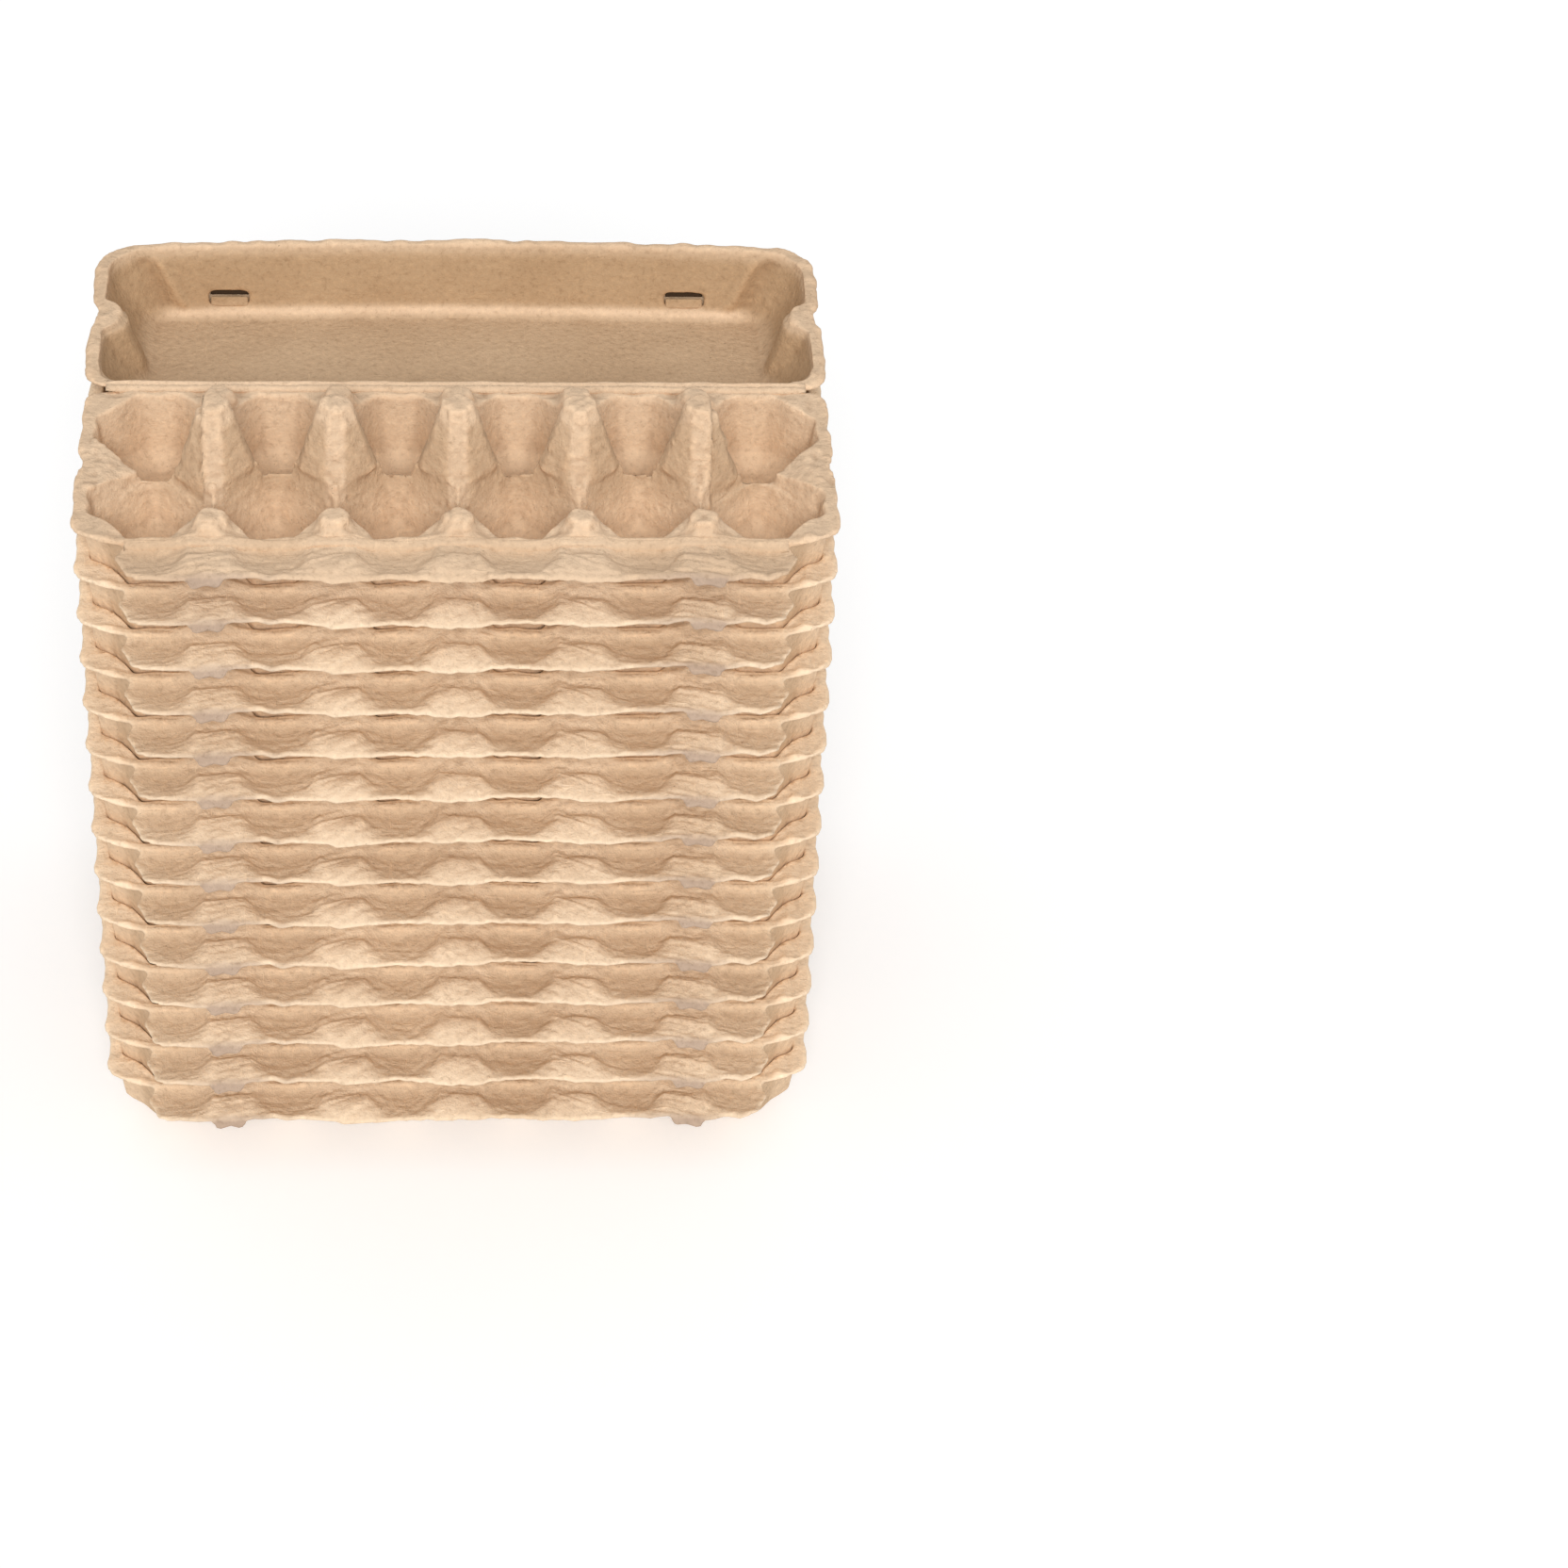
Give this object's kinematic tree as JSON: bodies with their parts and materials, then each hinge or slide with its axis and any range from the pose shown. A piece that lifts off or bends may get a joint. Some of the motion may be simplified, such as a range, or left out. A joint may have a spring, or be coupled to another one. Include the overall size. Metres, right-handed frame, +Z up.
{
  "type": "stack of egg cartons",
  "caption": "Stack of nested moulded-pulp egg cartons, open with lids folded back; the top one has a hinged lid and a locking flap.",
  "frame": {"origin": "middle of the stack's plan, on the surface that it stands on", "axes": "+X along the cartons, +Z up the stack, -Y towards the locking flaps"},
  "size_m": [0.301, 0.2458, 0.3459],
  "materials": {
    "pulp": "rough grey-brown moulded pulp",
    "top_pulp": "rough grey-brown moulded pulp"
  },
  "bodies": {
    "stack": {"carton_01": "pulp", "carton_02": "pulp", "carton_03": "pulp", "carton_04": "pulp", "carton_05": "pulp", "carton_06": "pulp", "carton_07": "pulp", "carton_08": "pulp", "carton_09": "pulp", "carton_10": "pulp", "carton_11": "pulp", "carton_12": "pulp", "carton_13": "pulp", "top_tray": "top_pulp"},
    "lid": {"top_lid": "top_pulp"},
    "flap": {"top_flap": "top_pulp"}
  },
  "joints": [
    {"name": "lid_hinge", "type": "hinge", "parent": "stack", "child": "lid", "pos_m": [0, 0.00881, 0.3191], "axis": [1, 0, 0], "range_deg": [0, 180]},
    {"name": "flap_fold", "type": "hinge", "parent": "stack", "child": "flap", "pos_m": [0, -0.09799, 0.3189], "axis": [1, 0, 0], "range_deg": [-112, 0]}
  ]
}
